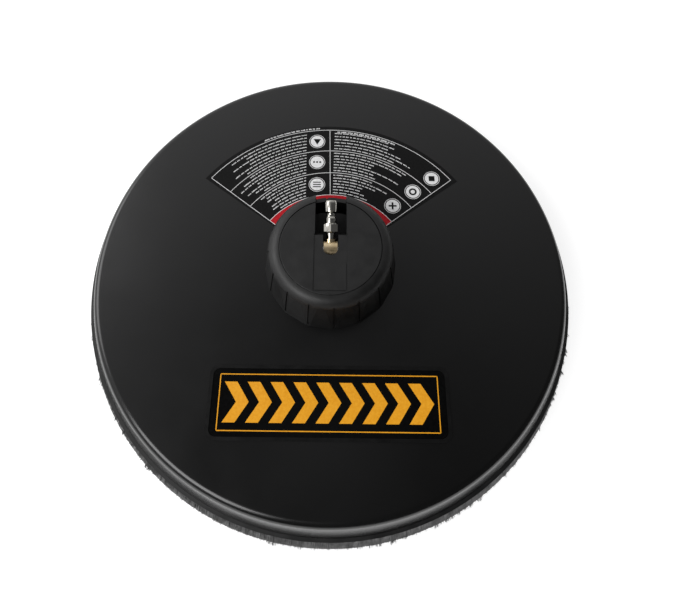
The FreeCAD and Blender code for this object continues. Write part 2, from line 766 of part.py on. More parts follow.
def make_shaft():
    """Hollow stainless shaft: seal journal on top, bearing seats, shoulder, and a foot for the hub."""
    blank = new_body("shaft_blank")
    foot = S.arm_level - 8
    thread, collar, bore = 4.95, 7.6, 2.2
    hub_face = S.arm_level + 8.2
    shoulder = S.lower_bearing - S.race_width / 2 - 0.05
    top = S.seal_top - 0.3
    bore_end = S.arm_level - 3
    revolve(blank, [
        (0, foot), (thread, foot), (thread, hub_face), (collar, hub_face), (collar, shoulder),
        (S.shaft_radius, shoulder), (S.shaft_radius, top), (bore, top), (bore, bore_end), (0, bore_end),
    ])
    clip_low = S.upper_bearing + S.race_width / 2 + 0.05
    groove = 5.5
    cross = cylinder("shaft_cross_hole", (-8, 0, S.arm_level), (1, 0, 0), 2.0, 16)
    clip_disc = cylinder("shaft_clip_disc", (0, 0, clip_low), (0, 0, 1), S.shaft_radius + 0.5, 0.5)
    clip_core = cylinder("shaft_clip_core", (0, 0, clip_low), (0, 0, 1), groove, 0.5)
    clip_track = cut("shaft_clip_track", clip_disc, clip_core)
    label(cut("shaft_cut", blank, fused("shaft_tools", [cross, clip_track])), "rotor_shaft")
    ring = new_body("shaft_clip_ring")
    low, high = clip_low + 0.02, clip_low + 0.48
    inner, outer = groove + 0.02, 7.4
    revolve(ring, [(inner, low), (outer, low), (outer, high), (inner, high)])
    gap = box("shaft_clip_gap", (-1.5, -10, clip_low - 1), (3, 8, 3))
    label(cut("shaft_clip_cut", ring, gap), "shaft_clip")


# ---------------------------------------------------------------- rotor


def make_hub():
    """Hub block screwed to the shaft, with a socket for each arm."""
    low, high = S.arm_level - 10, S.arm_level + 8
    blank = new_body("hub_blank")
    revolve(blank, [
        (0, low), (S.hub_radius - 1.5, low), (S.hub_radius, low + 1.5), (S.hub_radius, high - 1.5),
        (S.hub_radius - 1.5, high), (5.0, high), (5.0, S.arm_level - 8.1), (0, S.arm_level - 8.1),
    ])
    flats = box("hub_flats", (-20, -S.hub_radius + 2, low - 1), (40, 2 * S.hub_radius - 4, 30))
    sockets = cylinder("hub_sockets", (-30, 0, S.arm_level), (1, 0, 0), 4.55, 60)
    label(cut("hub_cut", common("hub_flatted", blank, flats), sockets), "rotor_hub")


def make_arm(side, way):
    """One spray arm with its lock nut, nozzle holder and nozzle. Both jets turn the rotor the same way."""
    level = S.arm_level
    direction = (way, 0, 0)
    neck = 17.0
    thread = cylinder(f"arm_{side}_thread", (way * 8.0, 0, level), direction, ARM_THREAD, 10)
    tube = cylinder(f"arm_{side}_tube", (way * neck, 0, level), direction, S.arm_radius, S.arm_tip - neck)
    bore = cylinder(f"arm_{side}_bore", (way * 7.0, 0, level), direction, ARM_BORE, 200)
    label(cut(f"arm_{side}_cut", fused(f"arm_{side}_whole", [thread, tube]), bore), f"spray_arm_{side}")
    fit = S.arm_radius + 0.02
    collar = hex_piece(f"arm_{side}_collar", (way * (neck + 0.2), 0, level), 15.0, 6.0, direction)
    hole = cylinder(f"arm_{side}_nut_hole", (way * (neck - 1), 0, level), direction, fit, 12)
    label(cut(f"arm_{side}_nut", collar, hole), f"arm_lock_nut_{side}")
    centre = S.nozzle_circle * way
    lean = math.radians(DRIVING["nozzle_lean"]) * way
    down = (0, math.sin(lean), -math.cos(lean))
    block = cylinder(f"holder_{side}_block", (way * (S.arm_tip - 8), 0, level), direction, HOLDER_RADIUS, 24)
    skirt = cylinder(f"holder_{side}_skirt", (centre, 0, level), down, 7.4, 10.5)
    seat = cylinder(f"holder_{side}_seat", (way * (S.arm_tip - 9), 0, level), direction, fit, 9.1)
    way_in = cylinder(f"holder_{side}_way", (way * (S.arm_tip - 1), 0, level), direction, ARM_BORE, 8)
    socket = cylinder(f"holder_{side}_socket", (centre, 0, level), down, 4.5, 14)
    whole = fused(f"holder_{side}_whole", [block, skirt])
    hollows = fused(f"holder_{side}_tools", [seat, way_in, socket])
    label(cut(f"holder_{side}_cut", whole, hollows), f"nozzle_holder_{side}")
    make_nozzle(side, number(centre), down)


def make_nozzle(side, x, down):
    """Hexagon-bodied jet nozzle, turned about its own axis and set pointing down."""
    body = new_body(f"nozzle_{side}_blank")
    stem, stem_end, face = 4.45, 10.6, 15.6
    revolve(body, [
        (0, 3.0), (stem, 3.0), (stem, stem_end), (5.4, stem_end), (5.4, 13.5), (3.6, face), (0, face),
    ])
    pad(body, hexagon(11.0), stem_end, 2.6)
    hole = drill(body, 0, 0, 1.0, 16.0, 14)
    hole.Label = f"nozzle_{side}_orifice"
    body.Placement = Placement(Vector(x, 0, number(S.arm_level)), Rotation(Vector(0, 0, 1), Vector(*down)))
    label(body, f"nozzle_{side}")


# ---------------------------------------------------------------- inlet


def tilted(thing):
    """Sets a piece drawn along Z from the pivot at the plug's resting tilt."""
    return stand(thing, (0, 0, S.pivot_level), Rotation(Vector(1, 0, 0), DRIVING["plug_tilt"] - 90))


def make_inlet():
    """Brass eye that rocks on the pivot pin, its two O-rings, and the quick-connect plug screwed into it."""
    level = S.pivot_level
    along = (1, 0, 0)
    stem = 3.98
    barrel = cylinder("eye_barrel", (-S.eye_width / 2, 0, level), along, S.eye_radius, S.eye_width)
    boss = tilted(cylinder("eye_boss", (0, 0, 0), (0, 0, 1), 6.2, 11.2))
    tools = [
        tilted(cylinder("eye_socket", (0, 0, 0), (0, 0, 1), stem + 0.04, 20)),
        cylinder("eye_bore", (-20, 0, level), along, S.pin_radius + S.running_gap, 40),
        cylinder("eye_water_groove", (-2, 0, level), along, 6.4, 4),
    ]
    rings = []
    for i, x in enumerate(ORING_CENTRES):
        low = x - ORING_THICK / 2
        tools.append(cylinder(f"eye_ring_groove_{i}", (low, 0, level), along, 6.6, ORING_THICK))
        ring = doc.addObject("Part::Torus", f"pivot_oring_{i}")
        ring.Radius1 = 5.83
        ring.Radius2 = ORING_THICK / 2 - 0.06
        rings.append(stand(ring, (x, 0, level), Rotation(Vector(0, 0, 1), Vector(*along))))
    label(cut("eye_cut", fused("eye_whole", [barrel, boss]), fused("eye_tools", tools)), "pivot_eye")
    group("pivot_orings", rings)
    plug = new_body("plug_blank")
    hex_low, hex_high, tip = 17.0, 25.0, 45.0
    revolve(plug, [
        (0, 6.8), (stem, 6.8), (stem, hex_low), (4.6, hex_high), (4.9, 25.4), (4.9, 29.6), (4.3, 30.4),
        (3.7, 31.2), (3.7, 33.6), (4.6, 34.6), (5.55, 35.2), (5.55, 43.0), (4.7, tip), (0, tip),
    ])
    pad(plug, hexagon(12.0), hex_low, hex_high - hex_low)
    drill(plug, 0, 0, PLUG_BORE, tip + 1, 42)
    tilted(plug)
    label(plug, "inlet_plug")


# ---------------------------------------------------------------- graphics plates


def make_label_plate():
    """Thin printed fan on the deck behind the cover."""
    body = new_body("label_plate")
    low, high = S.deck_top, S.deck_top + 0.3
    inner, outer = S.label_inner, S.label_outer
    fan = revolve(body, [(inner, low), (outer, low), (outer, high), (inner, high)])
    half = DRIVING["label_half_angle"]
    fan.Angle = 2 * half
    body.Placement = Placement(Vector(0, 0, 0), Rotation(Vector(0, 0, 1), 90 - half))
    label(body, "deck_label")


def rounded_plate(name, width, height, corner, bottom, thick):
    """A plate with round corners, centred on the badge's place."""
    centre = S.badge_centre
    x, y = width / 2, height / 2
    body = new_body(name)
    low, high = centre - y, centre + y

    def draw(sketch):
        outline(sketch, [
            (corner - x, low), (x - corner, low, corner), (x, low + corner), (x, high - corner, corner),
            (x - corner, high), (corner - x, high, corner), (-x, high - corner), (-x, low + corner, corner),
        ])
    pad(body, draw, bottom, thick)
    return body


def make_badge():
    """Name-plate panel in front of the cover: a shallow frame with the plate inside it."""
    width, height = S.badge_width - 2 * BEZEL_EDGE, S.badge_height - 2 * BEZEL_EDGE
    play = 0.4
    outer = rounded_plate("bezel_outer", S.badge_width, S.badge_height, 8.0, S.deck_top, 1.4)
    inner = rounded_plate("bezel_inner", width, height, 6.0, S.deck_top - 1, 4)
    label(cut("bezel_cut", outer, inner), "badge_bezel")
    plate = rounded_plate("badge_plate", width - play, height - play, 5.8, S.deck_top, 0.9)
    label(plate, "badge_plate")


# ---------------------------------------------------------------- build, check and write


def build():
    make_deck()
    make_brush_holder()
    make_bristle_skirt()
    make_skirt_screws()
    make_swivel_cover()
    make_cover_cap()
    make_slot_liner()
    make_cover_screws()
    make_swivel_housing()
    make_flange_fixings()
    make_pivot_pin()
    make_swivel_inside()
    make_shaft()
    make_hub()
    make_arm("left", -1)
    make_arm("right", 1)
    make_inlet()
    make_label_plate()
    make_badge()


def check():
    """Stops at any object that failed and any sub-part whose shape isn't sound."""
    doc.recompute()
    failed = [o.Label for o in doc.Objects if "Invalid" in o.State or "Error" in o.State]
    if failed:
        raise RuntimeError(f"failed objects: {failed}")
    for thing in made:
        if thing.Shape.isNull() or not thing.Shape.isValid() or thing.Shape.Volume <= 0:
            raise RuntimeError(f"{thing.Label} has no sound shape")


def write():
    os.makedirs("parts", exist_ok=True)
    for thing in made:
        thing.Shape.exportStep(os.path.join("parts", thing.Label + ".step"))
        print(f"{thing.Label}: {len(thing.Shape.Solids)} solids, {thing.Shape.Volume / 1000:.2f} cm3")


build()
check()
write()
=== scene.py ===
import math
import random

import bmesh
import bpy
from mathutils import Matrix, Vector


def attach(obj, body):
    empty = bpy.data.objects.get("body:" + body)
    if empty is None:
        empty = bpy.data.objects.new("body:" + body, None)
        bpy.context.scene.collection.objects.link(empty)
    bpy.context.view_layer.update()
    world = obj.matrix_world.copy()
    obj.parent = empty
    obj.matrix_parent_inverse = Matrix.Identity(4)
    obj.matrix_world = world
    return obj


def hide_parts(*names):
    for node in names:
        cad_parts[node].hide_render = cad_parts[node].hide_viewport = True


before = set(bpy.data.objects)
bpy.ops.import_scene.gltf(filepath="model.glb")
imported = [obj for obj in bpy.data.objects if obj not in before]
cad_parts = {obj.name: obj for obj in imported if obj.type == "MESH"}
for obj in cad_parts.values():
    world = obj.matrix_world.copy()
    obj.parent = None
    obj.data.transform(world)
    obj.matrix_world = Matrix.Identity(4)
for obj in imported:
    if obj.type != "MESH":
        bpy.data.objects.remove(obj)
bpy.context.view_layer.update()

random.seed(7)
MM = 0.001

# Sizes in millimetres, the same as the CAD part's.
RIM_RADIUS = 226.0
HEM_RADIUS = 234.5
DECK_TOP = 48.0
SHOULDER = 8.0
HEM_LEVEL = 22.0
GAUGE = 1.5
FLANGE_INNER = 214.0
DECK_HOLE = 21.0
HOLDER_LOW = 16.0
BRISTLE_INNER = 232.0
BRISTLE_THICK = 5.0
TIP_RADIUS = 247.0
TIP_WIDTH = 8.0
PIVOT_LEVEL = 82.0
PLUG_TILT = 25.0
LABEL_TOP = 48.3
BADGE_CENTRE = -127.5
BADGE_TOP = 48.9

# How many flat sides stand for a full turn of the deck and the holder.
RING_SEGMENTS = 384


# ---------------------------------------------------------------- materials


class Look:
    """A material under construction: its node tree, its shader and a few building blocks."""

    def __init__(self, name, roughness, metallic=0.0):
        self.material = bpy.data.materials.new(name)
        self.material.use_nodes = True
        self.tree = self.material.node_tree
        self.shader = self.tree.nodes["Principled BSDF"]
        self.shader.inputs["Roughness"].default_value = roughness
        self.shader.inputs["Metallic"].default_value = metallic
        self.place = self.node("ShaderNodeTexCoord").outputs["Object"]

    def node(self, kind):
        return self.tree.nodes.new(kind)

    def join(self, source, target):
        self.tree.links.new(source, target)

    def noise(self, scale, detail=4.0, stretch=(1, 1, 1)):
        """Noise over the object's own coordinates. Scale is in cells per metre."""
        mapping = self.node("ShaderNodeMapping")
        mapping.inputs["Scale"].default_value = stretch
        self.join(self.place, mapping.inputs["Vector"])
        noise = self.node("ShaderNodeTexNoise")
        noise.inputs["Scale"].default_value = scale
        noise.inputs["Detail"].default_value = detail
        self.join(mapping.outputs["Vector"], noise.inputs["Vector"])
        return noise.outputs["Fac"]

    def ramp(self, source, low, high, start=0.35, end=0.65):
        """Maps noise to a range of greys, or of colours where low and high are triples."""
        ramp = self.node("ShaderNodeValToRGB")
        for stop, place, value in zip(ramp.color_ramp.elements, (start, end), (low, high)):
            stop.position = place
            stop.color = (*value, 1) if isinstance(value, tuple) else (value, value, value, 1)
        self.join(source, ramp.inputs["Fac"])
        return ramp.outputs["Color"]

    def color(self, source, low, high, start=0.35, end=0.65):
        self.join(self.ramp(source, low, high, start, end), self.shader.inputs["Base Color"])
        return self

    def roughness(self, source, low, high, start=0.35, end=0.65):
        self.join(self.ramp(source, low, high, start, end), self.shader.inputs["Roughness"])
        return self

    def bump(self, source, strength, distance_mm):
        bump = self.node("ShaderNodeBump")
        bump.inputs["Strength"].default_value = strength
        bump.inputs["Distance"].default_value = distance_mm * MM
        self.join(source, bump.inputs["Height"])
        self.join(bump.outputs["Normal"], self.shader.inputs["Normal"])
        return self

    def coat(self, weight, roughness):
        self.shader.inputs["Coat Weight"].default_value = weight
        self.shader.inputs["Coat Roughness"].default_value = roughness
        return self


def deck_paint():
    """Satin black paint on steel: faint orange peel, and a few specks of dust."""
    look = Look("deck_paint", 0.3)
    look.color(look.noise(900, 2), 0.0022, 0.006, 0.62, 0.8)
    look.roughness(look.noise(14, 6), 0.18, 0.25)
    return look.bump(look.noise(420, 3), 0.05, 0.12).material


def moulded(name, dark, light, low=0.42, high=0.56, gloss=0.5):
    """Moulded black plastic with a fine grain."""
    look = Look(name, low)
    look.shader.inputs["Specular IOR Level"].default_value = gloss
    look.color(look.noise(120, 6), dark, light)
    look.roughness(look.noise(60, 5), low, high)
    return look.bump(look.noise(1900, 3), 0.14, 0.1).material


def bristle_nylon():
    """Grey-black nylon, streaked along the bristles."""
    look = Look("bristle_nylon", 0.5)
    look.color(look.noise(240, 6, (1, 1, 0.15)), 0.03, 0.085, 0.3, 0.7)
    return look.roughness(look.noise(90, 4), 0.4, 0.62).material


def metal(name, dark, light, low, high, scale=70.0, stretch=(1, 1, 1), strength=0.08):
    """Metal with a machined or brushed grain along the stretched directions, and uneven tarnish."""
    look = Look(name, low, 1.0)
    look.color(look.noise(scale, 6), dark, light)
    look.roughness(look.noise(scale * 3, 5, stretch), low, high)
    return look.bump(look.noise(scale * 14, 3, stretch), strength, 0.05).material


def rubber():
    look = Look("rubber", 0.7)
    look.color(look.noise(300, 5), 0.008, 0.02)
    return look.bump(look.noise(1500, 3), 0.2, 0.1).material


def seal_polymer():
    look = Look("seal_polymer", 0.5)
    look.color(look.noise(400, 6), (0.42, 0.38, 0.3), (0.6, 0.56, 0.46))
    return look.bump(look.noise(1200, 3), 0.1, 0.05).material


def film(name, dark, light, rough_low, rough_high, gloss, laminate=0.0):
    """Printed film, with a share of clear laminate over it."""
    look = Look(name, rough_low)
    look.shader.inputs["Specular IOR Level"].default_value = gloss
    look.color(look.noise(500, 5), dark, light)
    look.roughness(look.noise(45, 5), rough_low, rough_high)
    look.coat(laminate, 0.12)
    return look.bump(look.noise(260, 3), 0.04, 0.1).material


MATERIALS = {
    "deck": deck_paint(),
    "holder": moulded("holder_plastic", 0.004, 0.008, 0.36, 0.5),
    "liner": moulded("liner_plastic", 0.001, 0.002, 0.6, 0.75, gloss=0.25),
    "cover": moulded("cover_plastic", 0.0038, 0.0072),
    "bezel": moulded("bezel_plastic", 0.002, 0.004, 0.3, 0.4, gloss=0.25),
    "bristle": bristle_nylon(),
    "brass": metal("brass", (0.55, 0.43, 0.25), (0.78, 0.64, 0.42), 0.2, 0.36),
    "nickel": metal("nickel", (0.46, 0.45, 0.41), (0.6, 0.58, 0.53), 0.1, 0.2, scale=60, strength=0.03),
    "steel": metal("zinc_steel", (0.4, 0.4, 0.39), (0.62, 0.62, 0.6), 0.32, 0.5),
    "stainless": metal("stainless", (0.5, 0.5, 0.5), (0.7, 0.7, 0.69), 0.22, 0.4,
                       scale=60, stretch=(1, 12, 12), strength=0.12),
    "bearing": metal("bearing_steel", (0.55, 0.55, 0.56), (0.72, 0.72, 0.73), 0.12, 0.22),
    "rubber": rubber(),
    "seal": seal_polymer(),
    "label_black": film("label_black", 0.003, 0.006, 0.3, 0.4, gloss=0.15),
    "ink_white": film("ink_white", 0.78, 0.9, 0.35, 0.45, gloss=0.2),
    "ink_red": film("ink_red", (0.42, 0.008, 0.014), (0.52, 0.015, 0.024), 0.35, 0.45, gloss=0.15),
    "ink_black": film("ink_black", 0.003, 0.006, 0.35, 0.45, gloss=0.15),
    "badge_black": film("badge_black", 0.0015, 0.0028, 0.14, 0.22, gloss=0.12),
    "ink_amber": film("ink_amber", (0.86, 0.36, 0.012), (0.95, 0.43, 0.022), 0.3, 0.4,
                      gloss=0.3, laminate=0.1),
}

NODE_MATERIALS = {
    "cover": ["swivel_cover", "cover_cap"],
    "bezel": ["badge_bezel"],
    "liner": ["slot_liner"],
    "brass": ["swivel_housing", "passage_screw", "pivot_eye", "upper_bearing_cage", "lower_bearing_cage",
              "seal_backing_ring", "rotor_hub", "nozzle_holder_left", "nozzle_holder_right"],
    "steel": ["cover_screws", "backing_plate", "flange_bolts", "flange_washers", "flange_nuts",
              "retaining_clip", "shaft_clip"],
    "stainless": ["skirt_screws", "pivot_pin", "pin_bore_plug", "pivot_nut", "outer_race_spacer",
                  "inner_race_spacer", "rotor_shaft", "spray_arm_left", "spray_arm_right",
                  "arm_lock_nut_left", "arm_lock_nut_right", "nozzle_left", "nozzle_right"],
    "bearing": ["upper_bearing_inner", "upper_bearing_outer", "upper_bearing_balls", "lower_bearing_inner",
                "lower_bearing_outer", "lower_bearing_balls"],
    "rubber": ["flange_gasket", "pivot_orings"],
    "seal": ["pressure_seal"],
    "label_black": ["deck_label"],
    "badge_black": ["badge_plate"],
}


# How wide the softened edges of these CAD nodes are, in millimetres.
SOFT_EDGES = {
    "swivel_cover": 0.35, "cover_cap": 0.25, "slot_liner": 0.25, "badge_bezel": 0.4, "badge_plate": 0.2,
    "pivot_eye": 0.4, "rotor_hub": 0.4, "swivel_housing": 0.4, "nozzle_holder_left": 0.4,
    "nozzle_holder_right": 0.4,
}


def dress_nodes():
    """Gives each CAD node its material, and softens the edges of some."""
    for look, names in NODE_MATERIALS.items():
        for name in names:
            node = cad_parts[name]
            node.data.materials.clear()
            node.data.materials.append(MATERIALS[look])
            if name in SOFT_EDGES:
                add_bevel(node, SOFT_EDGES[name])


def add_bevel(thing, width_mm):
    """Rounds the edges where faces meet at more than 40 degrees."""
    bevel = thing.modifiers.new("soft_edges", "BEVEL")
    bevel.width = width_mm * MM
    bevel.segments = 3
    bevel.limit_method = "ANGLE"
    bevel.angle_limit = math.radians(40)
    bevel.harden_normals = True


# ---------------------------------------------------------------- mesh building


def piece(name, verts, faces, body, material, stands_for=(), sharp=35, solid=True):
    """Makes a mesh piece from millimetres, smooth up to the sharp angle, and attaches it to its body."""
    mesh = bpy.data.meshes.new(name)
    mesh.from_pydata([(x * MM, y * MM, z * MM) for x, y, z in verts], [], faces)
    if solid:
        builder = bmesh.new()
        builder.from_mesh(mesh)
        bmesh.ops.remove_doubles(builder, verts=builder.verts, dist=1e-7)
        bmesh.ops.recalc_face_normals(builder, faces=builder.faces)
        builder.to_mesh(mesh)
        builder.free()
    mesh.polygons.foreach_set("use_smooth", [True] * len(mesh.polygons))
    mesh.set_sharp_from_angle(angle=math.radians(sharp))
    mesh.materials.append(MATERIALS[material])
    thing = bpy.data.objects.new(name, mesh)
    bpy.context.scene.collection.objects.link(thing)
    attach(thing, body)
    if stands_for:
        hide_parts(*stands_for)
    return thing


def arc(x, z, radius, start, end, count=10):
    """Points along an arc in degrees, both ends included."""
    turns = (math.radians(start + (end - start) * i / count) for i in range(count + 1))
    return [(x + radius * math.cos(a), z + radius * math.sin(a)) for a in turns]


def lathe(profile, segments, shape=None):
    """Turns a closed (r, z) profile about Z. shape(r, z, angle) may give a different radius."""
    verts, faces = [], []
    rows = len(profile)
    for i in range(segments):
        angle = 2 * math.pi * i / segments
        for r, z in profile:
            radius = shape(r, z, angle) if shape else r
            verts.append((radius * math.cos(angle), radius * math.sin(angle), z))
    for i in range(segments):
        here, after = i * rows, (i + 1) % segments * rows
        for j in range(rows):
            k = (j + 1) % rows
            faces.append((here + j, after + j, after + k, here + k))
    return verts, faces


def moved(verts, matrix):
    return [tuple(matrix @ Vector(v)) for v in verts]


# ---------------------------------------------------------------- deck and skirt


def make_deck():
    """The pressed deck with a fine round shoulder and a rolled hem."""
    crown = DECK_TOP - SHOULDER
    hem = 1.2
    inner_bend = 1.0
    midway = 120.0
    profile = [(DECK_HOLE, DECK_TOP), (midway, DECK_TOP)]
    profile += arc(RIM_RADIUS - SHOULDER, crown, SHOULDER, 90, 14, 14)
    profile += arc(HEM_RADIUS - hem, HEM_LEVEL + hem, hem, 20, -90, 6)
    profile += [(FLANGE_INNER, HEM_LEVEL), (FLANGE_INNER, HEM_LEVEL + GAUGE)]
    profile += [(HEM_RADIUS - GAUGE - inner_bend, HEM_LEVEL + GAUGE)]
    profile += arc(RIM_RADIUS - SHOULDER, crown, SHOULDER - GAUGE, 14, 90, 10)
    profile += [(midway, DECK_TOP - GAUGE), (DECK_HOLE, DECK_TOP - GAUGE)]
    verts, faces = lathe(profile, RING_SEGMENTS)
    piece("deck_skin", verts, faces, "deck_frame", "deck", ["deck"])


def make_holder():
    """The moulded ring that grips the bristles."""
    inner = FLANGE_INNER + 1
    outer = BRISTLE_INNER + BRISTLE_THICK
    web_low = 19.5
    groove_top = 20.0
    wall_top, wall_foot = 2.5, 1.5
    lip_top, lip_foot, lip_bulge, lip_edge = 0.8, 1.3, 1.6, 0.4
    profile = [
        (inner, web_low), (BRISTLE_INNER - wall_top, web_low), (BRISTLE_INNER - wall_foot, HOLDER_LOW),
        (BRISTLE_INNER, HOLDER_LOW), (BRISTLE_INNER, groove_top), (outer, groove_top),
        (outer, HOLDER_LOW), (outer + lip_foot, HOLDER_LOW), (outer + lip_bulge, HOLDER_LOW + lip_edge),
        (outer + lip_top, HEM_LEVEL), (inner, HEM_LEVEL),
    ]
    verts, faces = lathe(profile, RING_SEGMENTS)
    piece("holder_ring", verts, faces, "deck_frame", "holder", ["brush_holder"])


def bristle(verts, faces, root, tip, bow, thickness):
    """One bristle: a three-sided rod from root to tip that bows sideways."""
    rings = 4
    taper = 0.35
    start = len(verts)
    along = tip - root
    across = along.cross(Vector((0, 0, 1))).normalized()
    third = along.cross(across).normalized()
    for i in range(rings):
        share = i / (rings - 1)
        centre = root + along * share + bow * math.sin(math.pi * share)
        radius = thickness * (1 - taper * share)
        for k in range(3):
            turn = 2 * math.pi * k / 3
            offset = across * (radius * math.cos(turn)) + third * (radius * math.sin(turn))
            verts.append(tuple(centre + offset))
    for i in range(rings - 1):
        low, high = start + 3 * i, start + 3 * (i + 1)
        for k in range(3):
            n = (k + 1) % 3
            faces.append((low + k, low + n, high + n, high + k))
    last = start + 3 * (rings - 1)
    faces.append((last, last + 1, last + 2))
    faces.append((start, start + 2, start + 1))


def make_bristle_core():
    """The inner rows of the skirt, packed too close to tell apart: a ring with upright ridges."""
    ridges = 720
    ridge_height = 0.22
    foot = 1.4
    foot_inner = TIP_RADIUS - TIP_WIDTH + 1.5
    foot_outer = TIP_RADIUS - 0.9
    root_inner = BRISTLE_INNER + 0.8
    root_outer = BRISTLE_INNER + BRISTLE_THICK - 0.7
    root_top = HOLDER_LOW + 3.0
    knee = BRISTLE_INNER + BRISTLE_THICK - 0.1

    def ridged(r, z, angle):
        wave = math.sin(ridges * angle) + 0.6 * math.sin(0.37 * ridges * angle + 1.3)
        return r + ridge_height * wave

    def flared(share):
        """A radius on the outer face, at a share of the way from the knee out to the foot."""
        return knee + (foot_outer - knee) * share

    profile = [
        (root_inner, root_top), (root_inner, HOLDER_LOW), (foot_inner, foot), (foot_outer, foot),
        (flared(0.72), 5.2), (flared(0.38), 10.0), (root_outer, HOLDER_LOW), (root_outer, root_top),
    ]
    verts, faces = lathe(profile, 4 * ridges, ridged)
    piece("bristle_core", verts, faces, "deck_frame", "bristle", ["bristle_skirt"],
          sharp=60, solid=False)


def make_bristles(name, start, end):
    """Tufts of bristles between two angles in degrees, upright in the holder and flared to the floor."""
    tufts, per_tuft = 240, 26
    splayed_share = 0.16
    root_margin, tip_margin = 0.3, 0.4
    root_level = HOLDER_LOW + 3.5
    farthest = TIP_RADIUS + 2.6
    verts, faces = [], []
    for t in range(tufts):
        splayed = random.random() < splayed_share
        lean_out = random.uniform(1.0, 2.4) if splayed else random.gauss(0, 0.3)
        lean_side = random.gauss(0, 0.5)
        for _ in range(per_tuft):
            share = random.random() ** 0.6
            angle = math.radians(start + (end - start) * (t + random.random()) / tufts)
            r_root = BRISTLE_INNER + root_margin + share * (BRISTLE_THICK - 2 * root_margin)
            r_tip = TIP_RADIUS - TIP_WIDTH + share * TIP_WIDTH - tip_margin + lean_out + random.gauss(0, 0.4)
            r_tip = min(r_tip, farthest)
            side = (lean_side + random.gauss(0, 0.6)) / TIP_RADIUS
            root = Vector((r_root * math.cos(angle), r_root * math.sin(angle), root_level))
            drop = 0.3 + abs(random.gauss(0, 0.6))
            tip = Vector((r_tip * math.cos(angle + side), r_tip * math.sin(angle + side), drop))
            bow = Vector((math.cos(angle), math.sin(angle), 0)) * random.uniform(-0.9, 0.1)
            bristle(verts, faces, root, tip, bow, random.uniform(0.26, 0.4))
    piece(name, verts, faces, "deck_frame", "bristle", ["bristle_skirt"],
          sharp=60, solid=False)


# ---------------------------------------------------------------- inlet plug


def hexagonal(flat, start, end):
    """A shaping function that flattens the rows between start and end to a hexagon of half-width flat."""
    def shape(r, z, angle):
        if not start < z < end:
            return r
        sector = math.radians(360 / 6)
        local = (angle + sector / 2) % sector - sector / 2
        return min(r, flat / math.cos(local))
    return shape


def make_plug():
    """Quick-connect plug: chamfered hexagon, body, ball groove and nose collar, bored through."""
    bore, shank, body, groove, nose = 2.3, 3.98, 4.9, 3.7, 5.55
    hex_low, hex_high, flat, corner = 17.0, 25.0, 6.0, 6.93
    root, nose_end = 6.8, 45.0
    profile = [(bore, root), (3.6, root), (shank, 7.2), (shank, 16.4), (3.7, 16.8)]
    profile += [(5.7, hex_low), (6.9, hex_low + 0.8), (corner, 21.0), (6.9, hex_high - 0.8), (5.7, hex_high)]
    profile += [(4.7, 25.1), (body, 25.5), (body, 29.4), (4.7, 29.8)]
    profile += [(3.9, 30.8), (groove, 31.3), (groove, 33.4), (3.9, 33.9)]
    profile += [(5.2, 35.0), (5.5, 35.3), (nose, 35.7), (nose, 42.6), (5.4, 43.3), (4.9, 44.6)]
    profile += [(4.5, nose_end), (2.9, nose_end), (2.4, 44.4), (bore, 43.8)]
    verts, faces = lathe(profile, 96, hexagonal(flat, hex_low - 0.1, hex_high + 0.1))
    place = Matrix.Translation((0, 0, PIVOT_LEVEL)) @ Matrix.Rotation(math.radians(PLUG_TILT - 90), 4, "X")
    piece("plug", moved(verts, place), faces, "inlet", "nickel", ["inlet_plug"], sharp=25)


# ---------------------------------------------------------------- printed graphics


class Ink:
    """A layer of flat printed shapes at one level."""

    def __init__(self, level):
        self.level = level
        self.verts = []
        self.faces = []

    def polygon(self, points):
        start = len(self.verts)
        self.verts += [(x, y, self.level) for x, y in points]
        self.faces.append(tuple(range(start, start + len(points))))

    def band(self, inner, outer, start, end):
        """Part of a ring about the Z axis, in degrees."""
        steps = max(1, math.ceil(abs(end - start) / 2))
        for i in range(steps):
            a = math.radians(start + (end - start) * i / steps)
            b = math.radians(start + (end - start) * (i + 1) / steps)
            self.polygon([(r * math.cos(t), r * math.sin(t))
                          for r, t in ((inner, a), (outer, a), (outer, b), (inner, b))])

    def disc(self, x, y, radius, sides=40):
        turns = (2 * math.pi * i / sides for i in range(sides))
        self.polygon([(x + radius * math.cos(a), y + radius * math.sin(a)) for a in turns])

    def ring(self, x, y, inner, outer, sides=40):
        for i in range(sides):
            a, b = 2 * math.pi * i / sides, 2 * math.pi * (i + 1) / sides
            self.polygon([(x + r * math.cos(t), y + r * math.sin(t))
                          for r, t in ((inner, a), (outer, a), (outer, b), (inner, b))])

    def line(self, start, end, width):
        a, b = Vector(start), Vector(end)
        side = Vector((a.y - b.y, b.x - a.x)).normalized() * width / 2
        self.polygon([tuple(a + side), tuple(a - side), tuple(b - side), tuple(b + side)])

    def words(self, radius, start, end, height):
        """A curved row of small meaningless marks, grouped like words, from start to end in degrees."""
        turn = math.degrees(1 / radius)
        mark_gap, word_gap = 0.28 * turn, 1.1 * turn
        shortest_word, margin = 5 * turn, 2 * turn
        way = 1 if end > start else -1
        at = start
        while abs(end - at) > shortest_word:
            for _ in range(random.randint(2, 8)):
                wide = random.uniform(0.45, 0.95) * turn
                if abs(end - at) < margin:
                    break
                tall = height * random.uniform(0.7, 1.0)
                self.band(radius, radius + tall, at, at + way * wide)
                at += way * (wide + mark_gap)
            at += way * word_gap

    def finish(self, name, material):
        piece(name, self.verts, self.faces, "deck_frame", material, solid=False)


def polar(radius, degrees):
    return radius * math.cos(math.radians(degrees)), radius * math.sin(math.radians(degrees))


